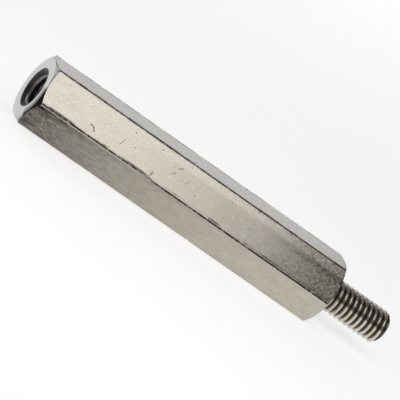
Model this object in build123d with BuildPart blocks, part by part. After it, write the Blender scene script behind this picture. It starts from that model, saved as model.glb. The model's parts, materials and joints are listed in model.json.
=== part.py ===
"""Male-female hex standoff, M3 x 0.5, turned in one piece from drawn hexagonal bar.

Millimetres. The standoff lies on one of its six flats. The origin is on the axis,
in the plane of the shoulder, where the stud leaves the hexagonal body. +X runs
along the axis and out of the stud, and +Z is up.

Both threads are plain walls here: the stud has the outside diameter of its thread,
and the hole has the diameter of its tapping drill, the inside of its thread.
"""

import os
from math import radians, tan

from build123d import *

# Drawn hexagonal bar
across_flats = 5.5
body_length = 30.0
bar_corner_radius = 0.1

# Corner chamfers turned at both ends of the body
end_face_inset = 0.05
chamfer_angle = 30.0

# Threaded stud
stud_diameter = 2.9
stud_length = 6.0
stud_tip_chamfer = 0.35

# Tapped blind hole
tapping_drill_diameter = 2.5
drilled_depth = 10.0
drill_point_angle = 118.0
countersink_diameter = 3.6
countersink_angle = 110.0

# Places along the axis
shoulder = 0.0
tapped_end = shoulder - body_length

# The end faces are circles just inside the flats, and the chamfer cones start at their rims
end_face_radius = across_flats / 2 - end_face_inset
cone_outer_radius = across_flats
cone_length = (cone_outer_radius - end_face_radius) * tan(radians(chamfer_angle))

# Depths of the hole's two cones
drill_radius = tapping_drill_diameter / 2
countersink_radius = countersink_diameter / 2
countersink_depth = (countersink_radius - drill_radius) / tan(radians(countersink_angle / 2))
drill_point_depth = drill_radius / tan(radians(drill_point_angle / 2))

with BuildPart() as hex_standoff:
    # A length of bar, with the small radii that the drawing die leaves on its corners
    with BuildSketch(Plane.YZ.offset(tapped_end)):
        RegularPolygon(across_flats / 2, side_count=6, major_radius=False)
    extrude(amount=body_length)
    fillet(hex_standoff.edges().filter_by(Axis.X), bar_corner_radius)

    # Turned ends: only what lies inside the two chamfer cones is left of the corners
    with BuildSketch(Plane.XZ):
        with BuildLine():
            Polyline(
                (tapped_end, 0),
                (tapped_end, end_face_radius),
                (tapped_end + cone_length, cone_outer_radius),
                (shoulder - cone_length, cone_outer_radius),
                (shoulder, end_face_radius),
                (shoulder, 0),
                close=True,
            )
        make_face()
    revolve(axis=Axis.X, mode=Mode.INTERSECT)

    # The stud, turned down from the bar and chamfered at its tip to start the nut
    with BuildSketch(Plane.YZ.offset(shoulder)):
        Circle(stud_diameter / 2)
    extrude(amount=stud_length)
    tip_edge = hex_standoff.edges().filter_by(GeomType.CIRCLE).sort_by(Axis.X)[-1]
    chamfer(tip_edge, stud_tip_chamfer)

    # The tapped hole: countersunk mouth, drilled wall and the cone of the drill's point
    with BuildSketch(Plane.XZ):
        with BuildLine():
            Polyline(
                (tapped_end, 0),
                (tapped_end, countersink_radius),
                (tapped_end + countersink_depth, drill_radius),
                (tapped_end + drilled_depth, drill_radius),
                (tapped_end + drilled_depth + drill_point_depth, 0),
                close=True,
            )
        make_face()
    revolve(axis=Axis.X, mode=Mode.SUBTRACT)

hex_standoff.part.label = "hex_standoff"

os.makedirs("parts", exist_ok=True)
export_step(hex_standoff.part, "parts/hex_standoff.step")
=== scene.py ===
"""A nickel-plated M3 hex standoff lying on a pale studio table, in metres."""

import json
import math

import bpy
import numpy as np
from mathutils import Matrix, Vector, noise


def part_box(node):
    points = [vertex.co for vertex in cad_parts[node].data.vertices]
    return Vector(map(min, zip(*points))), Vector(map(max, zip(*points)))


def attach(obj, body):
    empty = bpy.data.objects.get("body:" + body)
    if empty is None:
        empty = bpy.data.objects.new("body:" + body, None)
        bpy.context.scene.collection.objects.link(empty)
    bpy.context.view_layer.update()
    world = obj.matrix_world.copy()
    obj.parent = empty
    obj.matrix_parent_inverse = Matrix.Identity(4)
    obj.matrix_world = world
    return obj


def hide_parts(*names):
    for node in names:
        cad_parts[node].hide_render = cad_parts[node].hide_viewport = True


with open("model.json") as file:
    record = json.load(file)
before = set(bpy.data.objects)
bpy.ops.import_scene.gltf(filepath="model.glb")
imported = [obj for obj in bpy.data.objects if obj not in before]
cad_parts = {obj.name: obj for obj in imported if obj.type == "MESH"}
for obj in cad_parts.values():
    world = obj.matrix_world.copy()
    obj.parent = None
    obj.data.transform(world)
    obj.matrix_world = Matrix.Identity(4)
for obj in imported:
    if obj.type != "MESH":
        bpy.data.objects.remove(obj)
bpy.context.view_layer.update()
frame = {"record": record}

# Standoff body and threads
# One length of drawn hexagonal brass, turned and threaded, then nickel plated.
# It is a single mesh, laid out as rings of points that follow the turned profile
# from the bottom of the tapped hole, over the outside, to the tip of the stud.

mm = 0.001
low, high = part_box("hex_standoff")
mounts = {mount["name"]: mount for mount in frame["record"]["mounts"]}
stud_radius = mounts["stud"]["dims"]["r_mm"] * mm
drill_radius = mounts["tapped_hole"]["dims"]["r_mm"] * mm

tapped_end = low.x
stud_tip = high.x
shoulder = mounts["stud"]["pos_m"][0]
flat_radius = high.z

end_face_inset = 0.05 * mm
end_face_radius = flat_radius - end_face_inset
end_face_offset = 0.02 * mm
chamfer_angle = 30
chamfer_slope = math.tan(math.radians(chamfer_angle))
mouth_radius = 1.8 * mm
countersink_angle = 110
mouth_slope = 1 / math.tan(math.radians(countersink_angle / 2))
drilled_depth = 10 * mm
drill_point_angle = 118
drill_point_slope = 1 / math.tan(math.radians(drill_point_angle / 2))
stud_tip_chamfer = 0.35 * mm

columns_per_flat = 24
side_half = flat_radius * math.tan(math.radians(30))


def column_angles():
    """Angles of the point columns, closest together at the six corners."""
    angles = []
    for side in range(6):
        for step in range(columns_per_flat):
            across = side_half * math.sin(math.pi / 2 * (2 * step / columns_per_flat - 1))
            angles.append(math.radians(60 * side + 30) + math.atan2(across, flat_radius))
    return np.array(angles)


angles = column_angles()
columns = len(angles)
cosines = np.cos(angles)
sines = np.sin(angles)

# The bar's corners are numbered from the one at +Y, turning up and over toward the front. They are
# worn a little everywhere, and more or less in long and short waves of noise: a wave's length, its
# share, how far apart the corners read the noise, and the layer of it that they read.
corner_radius = 0.105 * mm
corner_wear = 0.035 * mm
even_wear = 0.4
front_corner = 3
top_corner = 2
wear_waves = [
    (1.1 * mm, 1.0, 7.3, 0.5),
    (0.3 * mm, 0.6, 3.1, 4.5),
]

# Nicks: the corner, the place along the bar, how much blunter the corner is there, and half its width.
nicks = [
    (front_corner, -18.73 * mm, 0.33 * mm, 0.16 * mm),
    (front_corner, -23.02 * mm, 0.15 * mm, 0.08 * mm),
    (top_corner, -15.97 * mm, 0.21 * mm, 0.09 * mm),
    (4, -12.4 * mm, 0.24 * mm, 0.12 * mm),
    (5, -6.3 * mm, 0.3 * mm, 0.14 * mm),
    (0, -21.5 * mm, 0.24 * mm, 0.12 * mm),
    (1, -9.8 * mm, 0.18 * mm, 0.1 * mm),
]


def bar_radius(x, angle):
    """Distance from the axis to the drawn surface, with its corners worn and nicked along the bar."""
    corner = round(math.degrees(angle) / 60)
    off_corner = angle - math.radians(60 * corner)
    wear = even_wear
    for wave, share, apart, layer in wear_waves:
        wear += share * noise.noise(Vector((x / wave, apart * (corner % 6), layer)))
    radius = corner_radius + corner_wear * max(0.0, wear)
    for nicked, place, blunted, reach in nicks:
        if nicked == corner % 6 and abs(x - place) < reach:
            radius += blunted * math.cos(math.pi / 2 * (x - place) / reach) ** 2
    centre = (flat_radius - radius) / math.cos(math.radians(30))
    flat = flat_radius / math.cos(math.radians(30) - abs(off_corner))
    aside = centre * math.sin(off_corner)
    if abs(aside) >= radius:
        return flat
    return min(flat, centre * math.cos(off_corner) + math.sqrt(radius**2 - aside**2))


class Skin:
    """Points and faces of one closed surface, added ring by ring."""

    def __init__(self):
        self.points = []
        self.faces = []
        self.ring = None

    def add_points(self, xs, radii):
        """A point in every column, and their numbers."""
        first = len(self.points)
        for x, radius, cosine, sine in zip(xs, radii, cosines, sines):
            self.points.append((x, radius * cosine, radius * sine))
        return list(range(first, first + columns))

    def join(self, ring):
        """Faces between the last ring and this one."""
        for column in range(columns):
            after = (column + 1) % columns
            self.add_face(self.ring[column], self.ring[after], ring[after], ring[column])
        self.ring = ring

    def add_face(self, *corners):
        """One face, without the corners that fall on each other."""
        kept = [c for i, c in enumerate(corners) if c != corners[i - 1]]
        if len(set(kept)) > 2:
            self.faces.append(kept)

    def start(self, x):
        """The point on the axis where the surface begins."""
        self.points.append((x, 0.0, 0.0))
        self.ring = [0] * columns

    def finish(self, x):
        """The point on the axis where the surface ends."""
        self.points.append((x, 0.0, 0.0))
        self.join([len(self.points) - 1] * columns)

    def round_ring(self, x, radius):
        """A plain circle of points, joined to the last ring."""
        self.join(self.add_points([x] * columns, [radius] * columns))

    def thread(self, start, end, steps, radius_at):
        """A strip wound along the helix, so that its crests and roots lie along rows of points.

        The last ring stands at start, and a new ring is left standing at end. A turn of the
        helix has as many rows as steps says.
        """
        way = 1 if end > start else -1
        length = abs(end - start)
        first_ring = self.ring
        last_ring = self.add_points([end] * columns, [radius_at(end, a) for a in angles])
        rows = math.ceil(steps * (length / pitch + 1))
        turned = angles / (2 * math.pi) * way + (way < 0)
        number = np.empty((rows + 1, columns), int)
        for row in range(rows + 1):
            for column in range(columns):
                along = pitch * (row / steps - 1 + turned[column])
                if along <= 0:
                    number[row, column] = first_ring[column]
                elif along >= length:
                    number[row, column] = last_ring[column]
                else:
                    x = start + way * along
                    radius = radius_at(x, angles[column])
                    number[row, column] = len(self.points)
                    self.points.append((x, radius * cosines[column], radius * sines[column]))

        def entry(row, column):
            """The point at a row and column, where the last column meets the next turn's first."""
            if column == columns:
                column = 0
                row += way * steps
            if row < 0:
                return first_ring[column]
            if row > rows:
                return last_ring[column]
            return number[row, column]

        for row in range(rows):
            for column in range(columns):
                self.add_face(
                    entry(row, column),
                    entry(row, column + 1),
                    entry(row + 1, column + 1),
                    entry(row + 1, column),
                )
        self.ring = last_ring


def soft_min(a, b, blend):
    """The smaller of two lengths, rounded where they cross."""
    return (a + b - math.sqrt((a - b) ** 2 + blend**2)) / 2


def soft_max(a, b, blend):
    """The larger of two lengths, rounded where they cross."""
    return (a + b + math.sqrt((a - b) ** 2 + blend**2)) / 2


def smooth_step(value):
    """0 below 0 and 1 above 1, with a smooth step between them."""
    value = min(max(value, 0.0), 1.0)
    return value * value * (3 - 2 * value)


# M3 x 0.5 threads, with their crests and roots rounded over and their ends fading out
pitch = 0.5 * mm
pitch_radius = 1.34 * mm
flank_angle = 30
stud_thread_depth = 0.27 * mm
hole_thread_depth = 0.27 * mm
tapped_depth = 8 * mm
thread_edge = 0.02 * mm
cone_edge = 0.6 * thread_edge
run_out = 0.45 * mm


def thread_flank(x, angle):
    """Radius of the sharp 60 degree right-hand thread form, before crests and roots are cut off."""
    off_crest = abs((x / pitch - angle / (2 * math.pi)) % 1 - 0.5)
    return pitch_radius + (0.25 - off_crest) * pitch / math.tan(math.radians(flank_angle))


def stud_surface(x, angle):
    """The stud's thread, which runs in just off the shoulder and out through the tip's chamfer."""
    cut = soft_min(thread_flank(x, angle), stud_radius, thread_edge)
    cut = soft_max(cut, stud_radius - stud_thread_depth, thread_edge)
    cut = min(cut, stud_radius)
    full = smooth_step((x - shoulder) / run_out)
    threaded = stud_radius + (cut - stud_radius) * full
    cone = stud_tip - x + stud_radius - stud_tip_chamfer
    return soft_min(threaded, cone, cone_edge)


def hole_surface(x, angle):
    """The hole's thread, cut back by the countersink and fading out above the drilled bottom."""
    cut = soft_max(thread_flank(x, angle), drill_radius, thread_edge)
    cut = soft_min(cut, drill_radius + hole_thread_depth, thread_edge)
    full = smooth_step((tapped_end + tapped_depth - x) / run_out)
    threaded = drill_radius + (cut - drill_radius) * full
    cone = mouth_radius - (x - tapped_end) / mouth_slope
    return soft_max(threaded, cone, cone_edge)


def rounded(corners, radii, steps=3):
    """The polyline through the corners, with an arc of the given radius at each inner one."""
    line = [corners[0]]
    for before, corner, after, radius in zip(corners, corners[1:], corners[2:], radii):
        back = (Vector(before) - Vector(corner)).normalized()
        ahead = (Vector(after) - Vector(corner)).normalized()
        half = back.angle(ahead) / 2
        centre = Vector(corner) + (back + ahead).normalized() * radius / math.sin(half)
        first = (Vector(corner) + back * radius / math.tan(half) - centre).normalized()
        last = (Vector(corner) + ahead * radius / math.tan(half) - centre).normalized()
        for step in range(steps + 1):
            share = step / steps
            line.append(tuple(centre + first.slerp(last, share) * radius))
    line.append(corners[-1])
    return line


def end_face_edge(angle):
    """The turned end face is a circle a little off the bar's centre."""
    return end_face_radius + end_face_offset * math.cos(angle)


# The countersink starts with a plain ring, and the thread's strip of points takes over from it.
countersink_ring = 0.14 * mm
flank_rows = 300
turned_edge = 0.03 * mm
rolled_edge = 0.04 * mm
stud_root_radius = 0.04 * mm


def outside(angle):
    """One column of the surface, from the countersink over the body to the root of the stud."""
    face = end_face_edge(angle)
    near = bar_radius(tapped_end, angle)
    near_x = tapped_end + (near - face) * chamfer_slope
    far = bar_radius(shoulder, angle)
    far_x = shoulder - (far - face) * chamfer_slope
    tapped_side = rounded(
        [
            (tapped_end + countersink_ring, mouth_radius - countersink_ring / mouth_slope),
            (tapped_end, mouth_radius),
            (tapped_end, face),
            (near_x, near),
            (near_x + mm, near),
        ],
        [turned_edge, turned_edge, rolled_edge],
    )[:-1]
    stud_side = rounded(
        [
            (far_x - mm, far),
            (far_x, far),
            (shoulder, face),
            (shoulder, stud_radius),
            (shoulder + mm, stud_radius),
        ],
        [rolled_edge, turned_edge, stud_root_radius],
    )[1:-1]
    start = tapped_side[-1][0]
    stop = stud_side[0][0]
    flank = []
    for row in range(1, flank_rows):
        x = start + (stop - start) * row / flank_rows
        flank.append((x, bar_radius(x, angle)))
    return tapped_side + flank + stud_side


hole_rows_per_turn = 8
stud_rows_per_turn = 16
drilled_end = tapped_end + drilled_depth
tapped_bottom = tapped_end + tapped_depth
skin = Skin()
skin.start(drilled_end + drill_radius * drill_point_slope)
skin.round_ring(drilled_end, drill_radius)
skin.round_ring(tapped_bottom, drill_radius)
skin.thread(tapped_bottom, tapped_end + countersink_ring, hole_rows_per_turn, hole_surface)
outlines = np.array([outside(angle) for angle in angles])
for ring in range(1, outlines.shape[1]):
    skin.join(skin.add_points(outlines[:, ring, 0], outlines[:, ring, 1]))
thread_start = shoulder + stud_root_radius
skin.thread(thread_start, stud_tip, stud_rows_per_turn, stud_surface)
tip_radius = stud_radius - stud_tip_chamfer
skin.round_ring(stud_tip, tip_radius / 2)
skin.finish(stud_tip)

mesh = bpy.data.meshes.new("plated_standoff")
mesh.from_pydata(skin.points, [], skin.faces)
mesh.shade_smooth()
standoff = bpy.data.objects.new("plated_standoff", mesh)
bpy.context.collection.objects.link(standoff)
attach(standoff, "root")
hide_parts("hex_standoff")


def hex_to_linear(code):
    """An sRGB hex colour as linear red, green, blue and alpha."""
    channels = [int(code[i : i + 2], 16) / 255 for i in (1, 3, 5)]
    return [c / 12.92 if c < 0.04045 else ((c + 0.055) / 1.055) ** 2.4 for c in channels] + [1.0]


def add_node(tree, kind, settings=None, links=None, output=0):
    """Adds one shader node, sets or links its inputs, and gives the output asked for."""
    node = tree.nodes.new("ShaderNode" + kind)
    for name, value in (settings or {}).items():
        setattr(node, name, value)
    for name, value in (links or {}).items():
        if isinstance(value, bpy.types.NodeSocket):
            tree.links.new(value, node.inputs[name])
        else:
            node.inputs[name].default_value = value
    return node.outputs[output]


def between(value, start, end):
    """0 at start and 1 at end, with a smooth step between them."""
    share = np.clip((value - start) / (end - start), 0, 1)
    return share * share * (3 - 2 * share)


def ridge(value, centre, half_width):
    """1 at the centre, fading to nothing on both sides of it."""
    return np.exp(-(((value - centre) / half_width) ** 2))


# Where each point of the mesh lies: its distance out from the axis, the flat it is on (named by the
# angle of the flat's middle), how far across that flat and from the nearest corner it is, and how
# many millimetres from the tapped end.
spot = np.array(skin.points)
x = spot[:, 0]
out = np.hypot(spot[:, 1], spot[:, 2])
angle = np.degrees(np.arctan2(spot[:, 2], spot[:, 1])) % 360
flat_angle = np.floor(angle / 60) * 60 + 30
across = flat_radius * np.tan(np.radians(angle - flat_angle))
corner = np.round(angle / 60) % 6
to_corner = side_half - np.abs(across)
from_tapped_end = (x - tapped_end) / mm
front_angle = 150
low_angle = 210
front_flat = flat_angle == front_angle
low_flat = flat_angle == low_angle

# The chamfer cones and the bar's own sides, each with how near to it a point counts as on it.
cone_gap = 0.012 * mm
face_gap = 0.03 * mm
side_gap = 0.02 * mm
end_gap = 0.005 * mm
cone_radius = end_face_radius + end_face_offset * np.cos(np.radians(angle))
cone_depth = np.minimum(x - tapped_end, shoulder - x) / chamfer_slope
turned_cone = np.abs(out - cone_radius - cone_depth) < cone_gap
turned_cone = turned_cone * (out > end_face_radius - face_gap)
bar_side = (out > flat_radius - side_gap) * (cone_depth > end_gap)
plain_side = bar_side * (1.0 - turned_cone)

# A dark reflection is painted as a line along the corners of the bar, full on the two corners that face
# the camera and fainter on the rest. Toward the tapped end the painted line leaves the front corner and
# lies just above it.
far_off = 9 * mm
from_front_corner = np.where(front_flat, across - side_half, far_off)
from_front_corner = np.where(low_flat, across + side_half, from_front_corner)
tapped_end_stretch = between(x, -17 * mm, -21 * mm)
near_front = np.abs(from_front_corner) < 0.3 * mm
rear_corner_share = 0.35
seen_corner = (corner == front_corner) + (corner == top_corner)
corner_deposit = between(to_corner, 0.13 * mm, 0.06 * mm)
corner_deposit *= np.where(seen_corner, 1.0, rear_corner_share)
corner_deposit *= 1 - tapped_end_stretch * near_front
line_height = 0.085 * mm
upper_painted_line = between(np.abs(from_front_corner + line_height), 0.095 * mm, 0.05 * mm) * tapped_end_stretch
# A painted highlight: the stain is cleared in a thin line beside the front corner toward the tapped end,
# and in spots at the nicks.
bright_edge = ridge(from_front_corner, 0.045 * mm, 0.04 * mm) * tapped_end_stretch
for nicked, place, blunted, reach in nicks:
    in_nick = ridge(x, place, 0.7 * reach) * (corner == nicked)
    bright_edge = np.maximum(bright_edge, in_nick * between(to_corner, 0.12 * mm, 0.05 * mm))
    corner_deposit *= 1 - in_nick

# Painted shade in the hole and the countersink, left off a thin ring where the two meet so that it shows
# as a bright rim, in the roots of the stud's thread, and on the chamfer under the front corner at the
# tapped end.
in_hole = between(out, mouth_radius + 0.012 * mm, mouth_radius - 0.01 * mm) * (x < shoulder - mm)
rim_radius = 1.4 * mm
rim = between(np.abs(out - rim_radius), 0.055 * mm, 0.02 * mm) * (x < tapped_end + 0.6 * mm)
bore_share = 0.75
hole_deposit = in_hole * (1 - 0.95 * rim) * np.where(out < rim_radius, bore_share, 1.0)
on_stud = between(x, shoulder + 0.02 * mm, shoulder + 0.15 * mm) * (out > stud_radius / 2)
# Painted shade down in the roots of the stud's thread.
in_root = between(out, stud_radius - 0.09 * mm, stud_radius - 0.22 * mm)
# Painted shade on the chamfer under the front corner, at the tapped end.
chamfer_shade_angle = 190
soot = turned_cone * (from_tapped_end < 1) * between(np.abs(angle - chamfer_shade_angle), 40, 30)

# Darkening on the low flat, which faces down to the card, strongest at the tapped end, and on the front
# flat toward the stud, where it stops short of the upper edge and gathers in a dark streak. Both are
# partly real mottled stain and partly painted shade for dimmer reflections.
by_front_corner = between(across, -0.6 * mm, -1.5 * mm)
low_stain_and_shade = 0.65 * np.exp(-from_tapped_end / 12)
low_stain_and_shade += 0.2 * by_front_corner * np.exp(-from_tapped_end / 7)
low_stain_and_shade += 0.15
stud_side = between(x, -9 * mm, shoulder)
below_band = between(across, -0.95 * mm, -0.72 * mm)
streak = ridge(across, -0.55 * mm, 0.2 * mm) * between(x, -9 * mm, -2 * mm)
front_stain_and_shade = below_band * (0.14 * between(from_tapped_end, 5, 20) + 0.3 * streak + 0.2 * stud_side)
front_stain_and_shade += 0.16 * (1 - below_band) * stud_side

# Where the finish changes, and where shade, dark reflections and highlights are painted. Each of these
# is kept on the mesh's points, for the material to read.
fields = {
    "drawn": plain_side,
    "warm": np.maximum(plain_side, x > shoulder + 0.05 * mm),
    "corner_deposit": bar_side * np.maximum(corner_deposit, upper_painted_line),
    "bright_edge": bar_side * bright_edge,
    "hole_deposit": hole_deposit,
    "root_deposit": in_root * on_stud,
    "soot": soot,
    "stain": bar_side * (low_stain_and_shade * low_flat + front_stain_and_shade * front_flat),
    "grain": bar_side * front_flat * stud_side,
    "stud": on_stud,
}
for name, values in fields.items():
    attribute = mesh.attributes.new(name, "FLOAT", "POINT")
    attribute.data.foreach_set("value", values.astype(np.float32))

# Bright nickel plate on drawn brass: a warm, half-bright metal, its gloss softened by the fine
# draw lines along the flats and by turning marks on the ends, with a dark film of stain, marks and
# painted shade over it.
nickel = bpy.data.materials.new("bright_nickel_plate")
nickel.use_nodes = True
plate = nickel.node_tree
plate.nodes.clear()
field = {}
for name in fields:
    field[name] = add_node(plate, "Attribute", {"attribute_name": name}, output="Fac")
in_metres = add_node(plate, "TexCoord", output="Object")
in_mm = add_node(plate, "VectorMath", {"operation": "SCALE"}, {"Vector": in_metres, "Scale": 1 / mm})

# Features per millimetre, their stretch along and round the bar, octaves of detail, and the noise
# values at which each begins and is full. Draw lines and grain are really finer than 0.1 mm, and
# are drawn that coarse so that they show.
patterns = {
    "draw_line": (1.0, (0.12, 6.0, 6.0), 5.0, 0.3, 0.7),
    "speckle": (7.0, (1.0, 1.0, 1.0), 3.0, 0.36, 0.62),
    "peel": (0.9, (1.0, 1.0, 1.0), 2.0, 0.0, 1.0),
    "cloud": (1.1, (0.6, 1.0, 1.0), 4.0, 0.32, 0.68),
    "rubbing": (3.2, (0.45, 1.4, 1.4), 4.0, 0.4, 0.6),
    "smut": (4.5, (1.0, 1.0, 1.0), 4.0, 0.42, 0.66),
    "line_break": (3.0, (1.0, 1.0, 1.0), 2.0, 0.3, 0.5),
}
pattern = {}
for name, (per_mm, stretch, detail, begins, full) in patterns.items():
    place = add_node(plate, "Mapping", {}, {"Vector": in_mm, "Scale": stretch})
    value = add_node(plate, "TexNoise", {}, {"Vector": place, "Scale": per_mm, "Detail": detail})
    range_kept = {"Value": value, "From Min": begins, "From Max": full}
    pattern[name] = add_node(plate, "MapRange", {}, range_kept)

# Turning marks run round the axis, so their noise is read at the distance out from it.
axis_part = add_node(plate, "VectorMath", {"operation": "MULTIPLY"}, {0: in_mm, 1: (0.0, 1.0, 1.0)})
length_part = add_node(plate, "VectorMath", {"operation": "MULTIPLY"}, {0: in_mm, 1: (1.0, 0.0, 0.0)})
axis_distance = add_node(plate, "VectorMath", {"operation": "LENGTH"}, {0: axis_part}, "Value")
ring_place = add_node(plate, "VectorMath", {"operation": "ADD"}, {0: length_part, 1: axis_distance})
turning_mark = add_node(plate, "TexNoise", {}, {"Vector": ring_place, "Scale": 7.0, "Detail": 3.0})

# Small pits are scattered over the flats, one in about every second cell of half a millimetre.
# Their reach and rim are shares of a cell.
pit_places = {"Vector": in_mm, "Scale": 1.9}
pit_rim = 0.04
pit_cell = add_node(plate, "TexVoronoi", {}, pit_places, "Color")
pit_distance = add_node(plate, "TexVoronoi", {}, pit_places, "Distance")
pit_size = add_node(plate, "SeparateColor", {}, {"Color": pit_cell})
pit_reach = add_node(plate, "Math", {"operation": "MULTIPLY_ADD"}, {0: pit_size, 1: 0.25, 2: -0.125})
pit_inside = add_node(plate, "Math", {"operation": "SUBTRACT"}, {0: pit_reach, 1: pit_distance})
pit_depth = {"Value": pit_inside, "From Max": pit_rim, "To Max": field["drawn"]}
pit = add_node(plate, "MapRange", {}, pit_depth)


def flat_point(flat, along, aside):
    """A point on a flat, in millimetres from the shoulder and aside of the flat's middle."""
    turned = math.radians(flat)
    level = flat_radius / mm
    y = level * math.cos(turned) - aside * math.sin(turned)
    z = level * math.sin(turned) + aside * math.cos(turned)
    return Vector((along, y, z))


def knock_mark(flat, start, end, width):
    """1 along a short straight knock or scratch on a flat, falling to 0 at its width from it."""
    first = flat_point(flat, *start)
    run = flat_point(flat, *end) - first
    offset = add_node(plate, "VectorMath", {"operation": "SUBTRACT"}, {0: in_mm, 1: first})
    per_run = run / run.length_squared
    along = add_node(plate, "VectorMath", {"operation": "DOT_PRODUCT"}, {0: offset, 1: per_run}, "Value")
    kept = add_node(plate, "Clamp", {}, {"Value": along})
    nearest = add_node(plate, "VectorMath", {"operation": "SCALE"}, {0: run, "Scale": kept})
    gap = add_node(plate, "VectorMath", {"operation": "DISTANCE"}, {0: offset, 1: nearest}, "Value")
    falling = {"Value": gap, "From Max": width, "To Min": 1.0, "To Max": 0.0}
    return add_node(plate, "MapRange", {"interpolation_type": "SMOOTHSTEP"}, falling)


# Each knock or scratch: its flat, its two ends, and how wide it is, in millimetres.
knocks = [
    (front_angle, (-25.35, 0.62), (-25.15, 0.6), 0.05),
    (front_angle, (-25.15, 0.6), (-24.95, 0.7), 0.06),
    (front_angle, (-24.95, 0.7), (-24.8, 0.95), 0.07),
    (front_angle, (-22.4, 0.56), (-22.25, 0.3), 0.035),
    (front_angle, (-22.25, 0.3), (-22.14, 0.0), 0.03),
    (front_angle, (-21.13, 0.1), (-21.1, 0.08), 0.05),
    (front_angle, (-21.67, -0.98), (-21.6, -0.9), 0.04),
    (front_angle, (-17.33, 0.14), (-17.22, -0.02), 0.035),
    (front_angle, (-17.22, -0.02), (-17.05, -0.05), 0.035),
    (front_angle, (-17.02, -0.52), (-16.68, -0.74), 0.045),
    (front_angle, (-15.83, 0.05), (-15.8, 0.03), 0.06),
    (front_angle, (-15.68, -0.2), (-15.6, -0.22), 0.04),
    (front_angle, (-9.4, 0.3), (-9.3, 0.25), 0.05),
    (low_angle, (-20.15, -0.97), (-19.9, -1.06), 0.05),
    (low_angle, (-15.06, 0.98), (-15.0, 0.98), 0.05),
    (low_angle, (-13.7, -1.31), (-13.5, -1.36), 0.07),
    (low_angle, (-9.52, -0.16), (-9.5, -0.16), 0.05),
    (low_angle, (-6.71, -0.39), (-6.68, -0.38), 0.07),
]
knock = 0.0
for flat, start, end, width in knocks:
    mark = knock_mark(flat, start, end, width)
    knock = add_node(plate, "Math", {"operation": "MAXIMUM"}, {0: knock, 1: mark})

# Scratches that cut through the stain at the tapped end and leave bright metal.
scratches = [
    (low_angle, (-28.3, -0.69), (-27.7, -0.67), 0.06),
    (low_angle, (-27.5, -0.66), (-27.15, -0.65), 0.07),
    (low_angle, (-28.85, -0.9), (-28.3, 0.3), 0.035),
    (low_angle, (-28.28, 0.55), (-27.1, 1.2), 0.035),
    (low_angle, (-27.1, 0.36), (-26.15, 0.75), 0.035),
    (low_angle, (-26.2, -0.2), (-25.5, 0.1), 0.035),
]
scratch = 0.0
for flat, start, end, width in scratches:
    mark = knock_mark(flat, start, end, width)
    scratch = add_node(plate, "Math", {"operation": "MAXIMUM"}, {0: scratch, 1: mark})

# Heights in millimetres: what each mark raises the surface by, or with a minus sinks it by.
speckle_height = 0.0009
grain_height = 0.0062
grainy = {0: field["grain"], 1: grain_height, 2: speckle_height}
roughened = add_node(plate, "Math", {"operation": "MULTIPLY_ADD"}, grainy)
turned = add_node(plate, "Math", {"operation": "SUBTRACT"}, {0: 1.0, 1: field["drawn"]})
relief = [
    (pattern["draw_line"], field["drawn"], 0.0008),
    (pattern["speckle"], roughened, 1.0),
    (pattern["peel"], 1.0, 0.008),
    (turning_mark, turned, 0.0022),
    (knock, 1.0, -0.014),
    (scratch, 1.0, -0.006),
    (pit, 1.0, -0.012),
]
height = 0.0
for mark, share, amount in relief:
    part = add_node(plate, "Math", {"operation": "MULTIPLY"}, {0: mark, 1: share})
    height = add_node(plate, "Math", {"operation": "MULTIPLY_ADD"}, {0: part, 1: amount, 2: height})
bump = add_node(plate, "Bump", {}, {"Height": height, "Distance": mm})

# The stain and painted shade is uneven: it has the first amount everywhere, and more where these
# patterns are full.
# Smut in the grain near the stud adds to it, and scratches and the painted highlight by the front corner
# clear it away.
mottle = 0.74
for name, amount in (("speckle", 0.2), ("cloud", 0.12), ("rubbing", 0.2)):
    more = {0: pattern[name], 1: amount, 2: mottle}
    mottle = add_node(plate, "Math", {"operation": "MULTIPLY_ADD"}, more)
stain = add_node(plate, "Math", {"operation": "MULTIPLY"}, {0: field["stain"], 1: mottle})
smut = add_node(plate, "Math", {"operation": "MULTIPLY"}, {0: pattern["smut"], 1: field["grain"]})
stain = add_node(plate, "Math", {"operation": "MULTIPLY_ADD"}, {0: smut, 1: 0.45, 2: stain})
cleaned = add_node(plate, "Math", {"operation": "MULTIPLY_ADD"}, {0: scratch, 1: -0.65, 2: 1.0})
dull = add_node(plate, "Math", {"operation": "SUBTRACT"}, {0: cleaned, 1: field["bright_edge"]})
line = add_node(plate, "Math", {"operation": "MULTIPLY_ADD"}, {0: pattern["line_break"], 1: 0.5, 2: 0.5})
dirt = {0: pattern["speckle"], 1: 0.3, 2: 0.12}
knock_dirt = add_node(plate, "Math", {"operation": "MULTIPLY_ADD"}, dirt)

# The film is the darkest at each point of the stains, marks, painted shade and painted dark reflections
# listed here, each with its share.
darkenings = [
    (stain, dull),
    (field["corner_deposit"], line),
    (field["soot"], 1.0),
    (field["hole_deposit"], 0.94),
    (field["root_deposit"], 0.9),
    (knock, knock_dirt),
    (pit, 0.45),
]
film_and_shade = 0.0
for deposit, share in darkenings:
    layer = add_node(plate, "Math", {"operation": "MULTIPLY", "use_clamp": True}, {0: deposit, 1: share})
    film_and_shade = add_node(plate, "Math", {"operation": "MAXIMUM"}, {0: film_and_shade, 1: layer})

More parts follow.
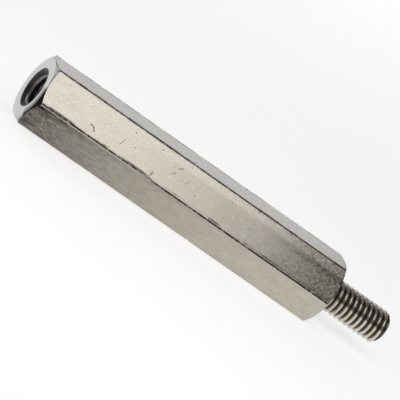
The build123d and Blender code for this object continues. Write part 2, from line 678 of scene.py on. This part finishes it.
# The drawn flats are a warm grey between two tones, and the turned ends are a cooler one.
bright_nickel = hex_to_linear("#DFD9CD")
dull_nickel = hex_to_linear("#C0B9AB")
turned_nickel = hex_to_linear("#CDCBCB")
dark_film_and_shade = hex_to_linear("#1E1A16")
tone = 0.0
for name, amount in (("cloud", 0.5), ("speckle", 0.38), ("draw_line", 0.12)):
    more = {0: pattern[name], 1: amount, 2: tone}
    tone = add_node(plate, "Math", {"operation": "MULTIPLY_ADD"}, more)
mixing = {"data_type": "RGBA"}
drawn_tone = {"Factor": tone, "A": dull_nickel, "B": bright_nickel}
colour = add_node(plate, "Mix", mixing, drawn_tone, "Result")
turned_tone = {"Factor": field["warm"], "A": turned_nickel, "B": colour}
colour = add_node(plate, "Mix", mixing, turned_tone, "Result")
shaded_tone = {"Factor": film_and_shade, "A": colour, "B": dark_film_and_shade}
colour = add_node(plate, "Mix", mixing, shaded_tone, "Result")

# Roughness: half-bright everywhere, duller in clouds and under the film of stain, marks and painted
# shade, and brighter on the stud.
roughness = 0.2
for mark, amount in ((pattern["cloud"], 0.08), (film_and_shade, 0.2), (field["stud"], -0.09)):
    more = {0: mark, 1: amount, 2: roughness}
    roughness = add_node(plate, "Math", {"operation": "MULTIPLY_ADD"}, more)
surface = {"Base Color": colour, "Metallic": 1.0, "Roughness": roughness, "Normal": bump}
shader = add_node(plate, "BsdfPrincipled", {}, surface, "BSDF")
plate_out = plate.nodes.new("ShaderNodeOutputMaterial")
plate.links.new(shader, plate_out.inputs["Surface"])
mesh.materials.append(nickel)

# Table, light and camera
# The standoff lies on a wide sheet of matt white card, which glows a little so that it stays pale,
# in a dim room with softboxes around it for the bar's sides to mirror. The camera has a long lens
# and is tilted about its own axis.

floor_size = 4.0
floor_mesh = bpy.data.meshes.new("table_top")
half = floor_size / 2
floor_mesh.from_pydata(
    [(-half, -half, low.z), (half, -half, low.z), (half, half, low.z), (-half, half, low.z)],
    [],
    [(0, 1, 2, 3)],
)
floor = bpy.data.objects.new("table_top", floor_mesh)
bpy.context.collection.objects.link(floor)

# Uncoated white card: matt, so that it takes soft shadows and shows no clear reflection.
card = bpy.data.materials.new("white_card")
card.use_nodes = True
card_shader = card.node_tree.nodes["Principled BSDF"]
card_shader.inputs["Base Color"].default_value = hex_to_linear("#F3F3F4")
card_shader.inputs["Roughness"].default_value = 0.9
card_shader.inputs["Emission Color"].default_value = hex_to_linear("#FFFFFF")
card_shader.inputs["Emission Strength"].default_value = 0.6
floor_mesh.materials.append(card)

# The room is darkest at the level of the bar, lighter above it and darker again overhead, and
# nearly white where the camera sees past the card.
world = bpy.data.worlds.new("studio")
bpy.context.scene.world = world
world.use_nodes = True
world_tree = world.node_tree
room = world_tree.nodes["Background"]
room.inputs["Color"].default_value = hex_to_linear("#FFFFFF")
way = add_node(world_tree, "TexCoord", output="Generated")
way_up = add_node(world_tree, "SeparateXYZ", {}, {0: way}, "Z")
smooth = {"interpolation_type": "SMOOTHSTEP"}
walls = {"Value": way_up, "From Min": 0.35, "From Max": 0.6, "To Min": 0.12, "To Max": 0.2}
wall_light = add_node(world_tree, "MapRange", smooth, walls)
ceiling = {"Value": way_up, "From Min": 0.65, "From Max": 0.85, "To Min": wall_light, "To Max": 0.12}
ceiling_light = add_node(world_tree, "MapRange", smooth, ceiling)
seen = add_node(world_tree, "LightPath", output="Is Camera Ray")
backdrop = {"Value": seen, "To Min": ceiling_light, "To Max": 0.9}
room_strength = add_node(world_tree, "MapRange", {}, backdrop)
world_tree.links.new(room_strength, room.inputs["Strength"])


def softbox(name, place, aim, width, height, radiance, colour):
    """A rectangular studio light at a place, turned to face its aim, all in millimetres."""
    light = bpy.data.lights.new(name, "AREA")
    light.shape = "RECTANGLE"
    light.size = width * mm
    light.size_y = height * mm
    light.energy = radiance * math.pi * light.size * light.size_y
    light.color = hex_to_linear(colour)[:3]
    lamp = bpy.data.objects.new(name, light)
    lamp.location = Vector(place) * mm
    lamp.rotation_mode = "QUATERNION"
    lamp.rotation_quaternion = (Vector(place) - Vector(aim)).to_track_quat("Z", "Y")
    lamp.visible_camera = False
    bpy.context.collection.objects.link(lamp)


# Each softbox: its place, the point it faces, its width and height, its brightness and its colour.
# The camera sees the front one in the front flat and the back one in the flat on top. The other
# three are for the sides that it doesn't see.
softboxes = {
    "front_light": ((-30, -52, 70), (-30, 0, 0), 112, 66, 1.06, "#FFFFFF"),
    "back_light": ((-15, 137, 33), (-15, 0, 0), 146.5, 54, 0.77, "#F2F6FF"),
    "left_light": ((-150, 95, 48), (-30, 0, 0), 90, 60, 0.6, "#FFFFFF"),
    "right_light": ((150, 108, 85), (-12, 0, 0), 130, 100, 0.35, "#FFFFFF"),
    "rear_light": ((-5, 120, 128), (-12, 0, 0), 150, 60, 0.45, "#FFFFFF"),
}
for name, settings in softboxes.items():
    softbox(name, *settings)

# The camera's direction from the bar, its tilt about its own axis, and its distance.
azimuth = math.radians(-20.96)
elevation = math.radians(14.02)
tilt = math.radians(40.23)
distance = 0.5788
off_middle = Vector((-1.24, -0.23, 0.23)) * mm
aim = (low + high) / 2 + off_middle
level_distance = math.cos(elevation)
back = Vector(
    (
        math.sin(azimuth) * level_distance,
        -math.cos(azimuth) * level_distance,
        math.sin(elevation),
    )
)
level = Vector((0, 0, 1)).cross(back).normalized()
rise = back.cross(level)
right = level * math.cos(tilt) + rise * math.sin(tilt)
up = back.cross(right)
camera_data = bpy.data.cameras.new("camera")
camera_data.lens = 653.6
camera_data.sensor_width = 36
camera_data.clip_start = 0.05
camera_data.clip_end = 20
camera = bpy.data.objects.new("camera", camera_data)
camera.matrix_world = Matrix((right, up, back)).transposed().to_4x4()
camera.location = aim + back * distance
bpy.context.collection.objects.link(camera)
bpy.context.scene.camera = camera

bpy.context.scene.view_settings.view_transform = "Standard"
